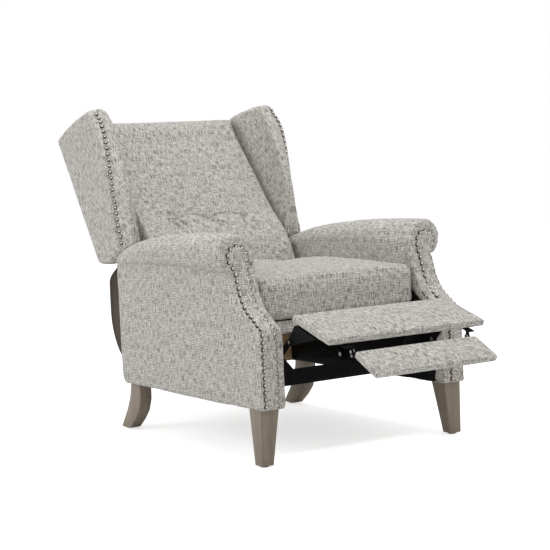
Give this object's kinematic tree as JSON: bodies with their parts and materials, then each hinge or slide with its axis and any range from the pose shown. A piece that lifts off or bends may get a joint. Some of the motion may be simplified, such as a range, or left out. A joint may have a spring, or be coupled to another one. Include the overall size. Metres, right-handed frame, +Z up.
{
  "type": "wingback recliner",
  "caption": "Push-back wing chair with rolled arms, nail trim and tapered wooden legs; the back reclines as the seat slides and a folding footrest opens.",
  "frame": {"origin": "on the floor under the middle of the chair's outline, fully reclined with the footrest open", "axes": "+Z up; -Y is the way the sitter faces; +X is the sitter's left"},
  "size_m": [0.7504, 1.5788, 1.0042],
  "materials": {
    "upholstery": "woven greige tweed",
    "lining": "thin brown lining",
    "timber": "planed, unfinished",
    "leg_wood": "satin taupe-brown stain",
    "nail_heads": "antique pewter tone",
    "black_steel": "satin black",
    "bright_steel": "zinc plated",
    "glides": "matte black"
  },
  "bodies": {
    "base": {"left_arm_cover": "upholstery", "right_arm_cover": "upholstery", "left_arm_frame": "timber", "right_arm_frame": "timber", "left_arm_facing": "upholstery", "right_arm_facing": "upholstery", "left_arm_nails": "nail_heads", "right_arm_nails": "nail_heads", "front_cross_rail": "black_steel", "rear_rail": "timber", "rear_rail_cover": "upholstery", "front_left_leg": "leg_wood", "front_right_leg": "leg_wood", "rear_left_leg": "leg_wood", "rear_right_leg": "leg_wood", "leg_bolts": "bright_steel", "foot_glides": "glides", "left_side_plate": "black_steel", "right_side_plate": "black_steel", "side_plate_bolts": "bright_steel", "base_pivot_pins": "bright_steel"},
    "seat": {"seat_frame": "timber", "seat_springs": "bright_steel", "seat_cushion": "upholstery", "seat_front_cover": "upholstery", "seat_rollers": "bright_steel"},
    "back": {"back_frame": "timber", "back_springs": "bright_steel", "back_cushion": "upholstery", "left_wing": "upholstery", "right_wing": "upholstery", "left_wing_frame": "timber", "right_wing_frame": "timber", "left_wing_nails": "nail_heads", "right_wing_nails": "nail_heads", "outside_back": "upholstery", "left_back_carrier": "black_steel", "right_back_carrier": "black_steel", "carrier_bolts": "bright_steel", "back_flap": "lining"},
    "links": {"left_main_link": "black_steel", "right_main_link": "black_steel"},
    "footrest": {"footrest_board": "timber", "footrest_pad": "upholstery", "left_footrest_bracket": "black_steel", "right_footrest_bracket": "black_steel", "footrest_pins": "bright_steel", "footrest_screws": "bright_steel", "flipper_pin_caps": "bright_steel"},
    "flipper": {"flipper_board": "timber", "flipper_pad": "upholstery", "left_flipper_bracket": "black_steel", "right_flipper_bracket": "black_steel", "flipper_screws": "bright_steel"}
  },
  "joints": [
    {"name": "back_recline", "type": "hinge", "parent": "base", "child": "back", "pos_m": [0, 0.045, 0.2], "axis": [1, 0, 0], "range_deg": [0, 20], "deforming": ["back_flap"]},
    {"name": "seat_slide", "type": "slide", "parent": "base", "child": "seat", "axis": [0, -1, 0], "range_m": [0, 0.075]},
    {"name": "link_swing", "type": "hinge", "parent": "base", "child": "links", "pos_m": [0, -0.428, 0.28], "axis": [-1, 0, 0], "range_deg": [0, 79]},
    {"name": "footrest_turn", "type": "hinge", "parent": "links", "child": "footrest", "pos_m": [0, -0.49, 0.332], "axis": [1, 0, 0], "range_deg": [0, 152]},
    {"name": "flipper_turn", "type": "hinge", "parent": "footrest", "child": "flipper", "pos_m": [0, -0.67501, 0.31362], "axis": [1, 0, 0], "range_deg": [0, 169.6]}
  ],
  "couplings": [
    {"joint": "seat_slide", "follows": "back_recline", "m_per_rad": 0.21485},
    {"joint": "link_swing", "follows": "back_recline", "ratio": 3.95},
    {"joint": "footrest_turn", "follows": "back_recline", "ratio": 7.6},
    {"joint": "flipper_turn", "follows": "back_recline", "ratio": 8.48}
  ]
}
